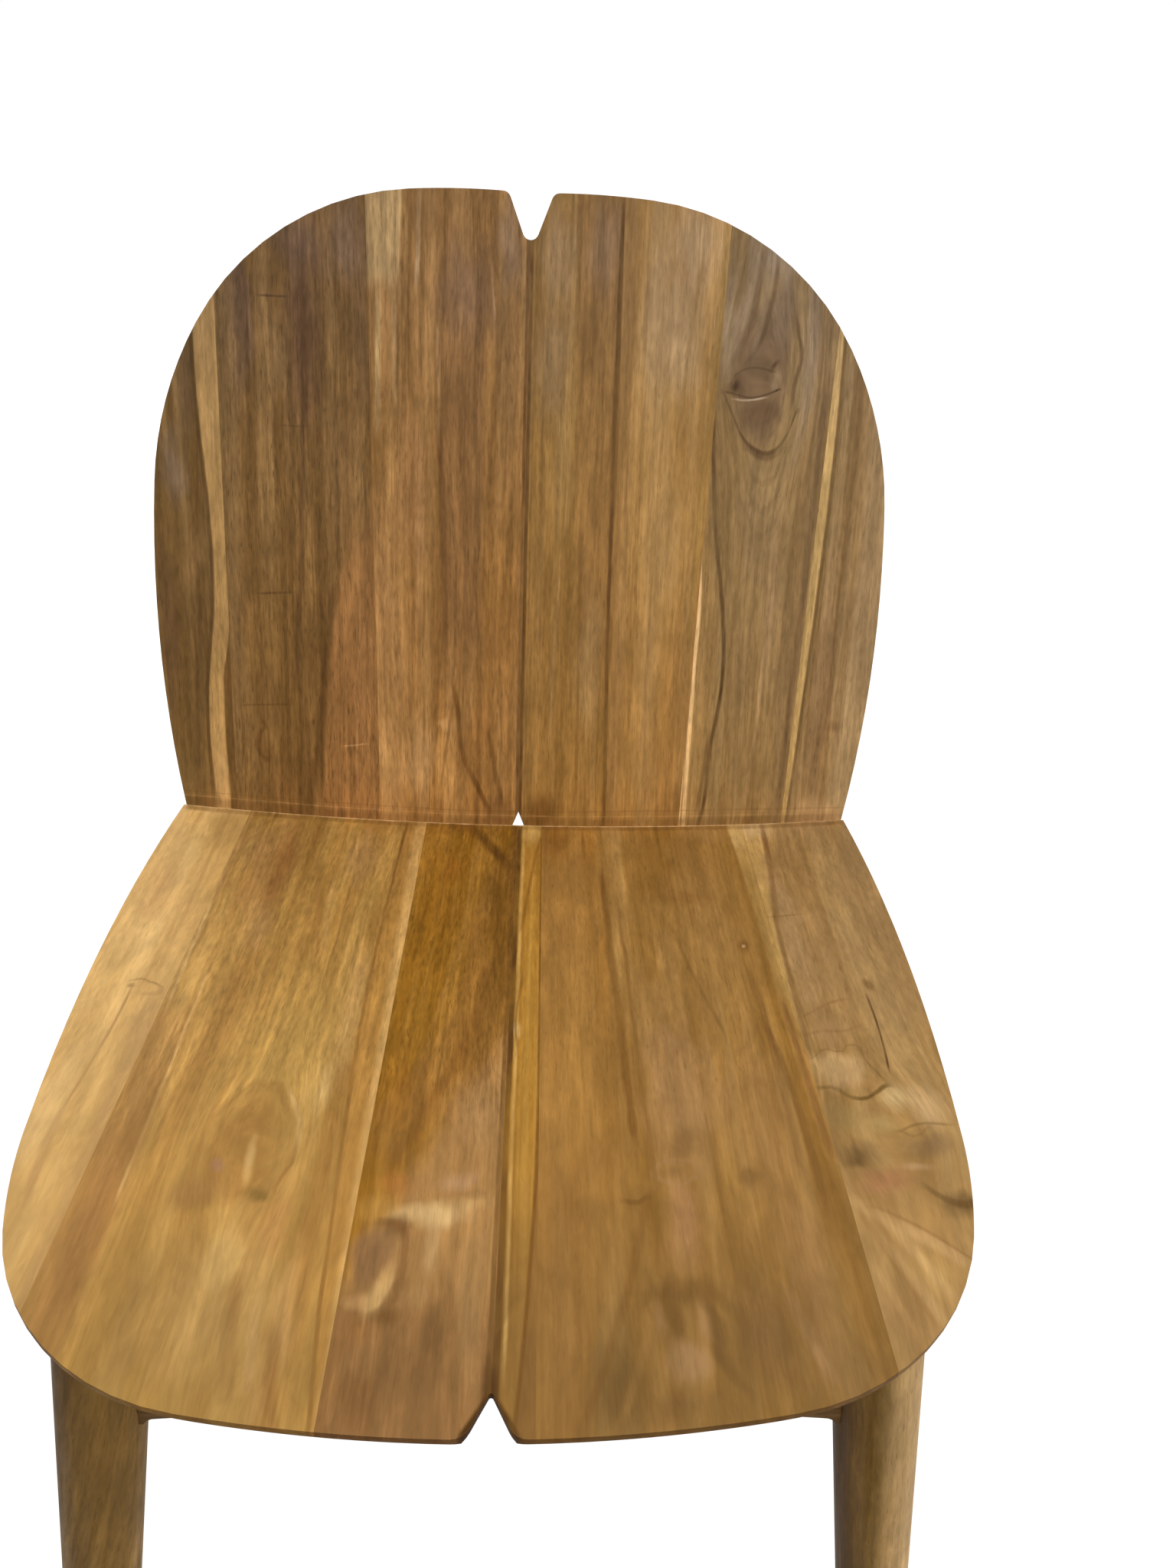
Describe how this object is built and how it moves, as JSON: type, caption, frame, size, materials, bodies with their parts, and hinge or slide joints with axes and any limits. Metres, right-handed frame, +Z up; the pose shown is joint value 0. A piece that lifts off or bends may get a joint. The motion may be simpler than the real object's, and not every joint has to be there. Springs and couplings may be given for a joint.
{
  "type": "dining chair",
  "caption": "Solid teak dining chair with a dished seat and a reclined curved back, both glued up from staves with notched middle seams, on round tapered legs and rails.",
  "frame": {"origin": "on the floor, under the centre of the chair's bounding box", "axes": "+Z up, -Y towards the front edge of the seat, +X to the right as seen from the front"},
  "size_m": [0.4744, 0.5644, 0.8234],
  "materials": {
    "leg_teak": "oiled, low sheen, grain along the piece",
    "rail_teak": "oiled, low sheen, grain along the piece",
    "block_teak": "sawn and sanded, unoiled",
    "plug_teak": "oiled, low sheen, grain along the piece",
    "hidden_beech": "bare, glued in",
    "screw_steel": "zinc plated",
    "glide_plastic": "moulded, matte",
    "seat_left_outer": "oiled, low sheen, figured grain along the stave",
    "seat_left_main": "oiled, low sheen, figured grain along the stave",
    "seat_left_inner": "oiled, low sheen, figured grain along the stave",
    "seat_right_inner": "oiled, low sheen, figured grain along the stave",
    "seat_right_main": "oiled, low sheen, figured grain along the stave",
    "seat_right_outer": "oiled, low sheen, figured grain along the stave",
    "back_left_outer": "oiled, low sheen, figured grain along the stave",
    "back_left_main": "oiled, low sheen, figured grain along the stave",
    "back_left_inner": "oiled, low sheen, figured grain along the stave",
    "back_right_inner": "oiled, low sheen, figured grain along the stave",
    "back_right_middle": "oiled, low sheen, figured grain along the stave",
    "back_right_main": "oiled, low sheen, figured grain along the stave",
    "back_right_outer": "oiled, low sheen, figured grain along the stave"
  },
  "bodies": {
    "root": {"front_leg_left": "leg_teak", "front_leg_right": "leg_teak", "rear_leg_left": "leg_teak", "rear_leg_right": "leg_teak", "front_rail": "rail_teak", "rear_rail": "rail_teak", "side_rail_left": "rail_teak", "side_rail_right": "rail_teak", "back_rail": "rail_teak", "block_front_left": "block_teak", "block_front_right": "block_teak", "block_rear_left": "block_teak", "block_rear_right": "block_teak", "seat_left_outer": "seat_left_outer", "seat_left_main": "seat_left_main", "seat_left_inner": "seat_left_inner", "seat_right_inner": "seat_right_inner", "seat_right_main": "seat_right_main", "seat_right_outer": "seat_right_outer", "back_left_outer": "back_left_outer", "back_left_main": "back_left_main", "back_left_inner": "back_left_inner", "back_right_inner": "back_right_inner", "back_right_middle": "back_right_middle", "back_right_main": "back_right_main", "back_right_outer": "back_right_outer", "seat_tongue": "hidden_beech", "back_tongue": "hidden_beech", "dowels": "hidden_beech", "frame_screws": "screw_steel", "seat_screws": "screw_steel", "batten_screws": "screw_steel", "back_plugs": "plug_teak", "foot_glides": "glide_plastic"}
  },
  "joints": []
}
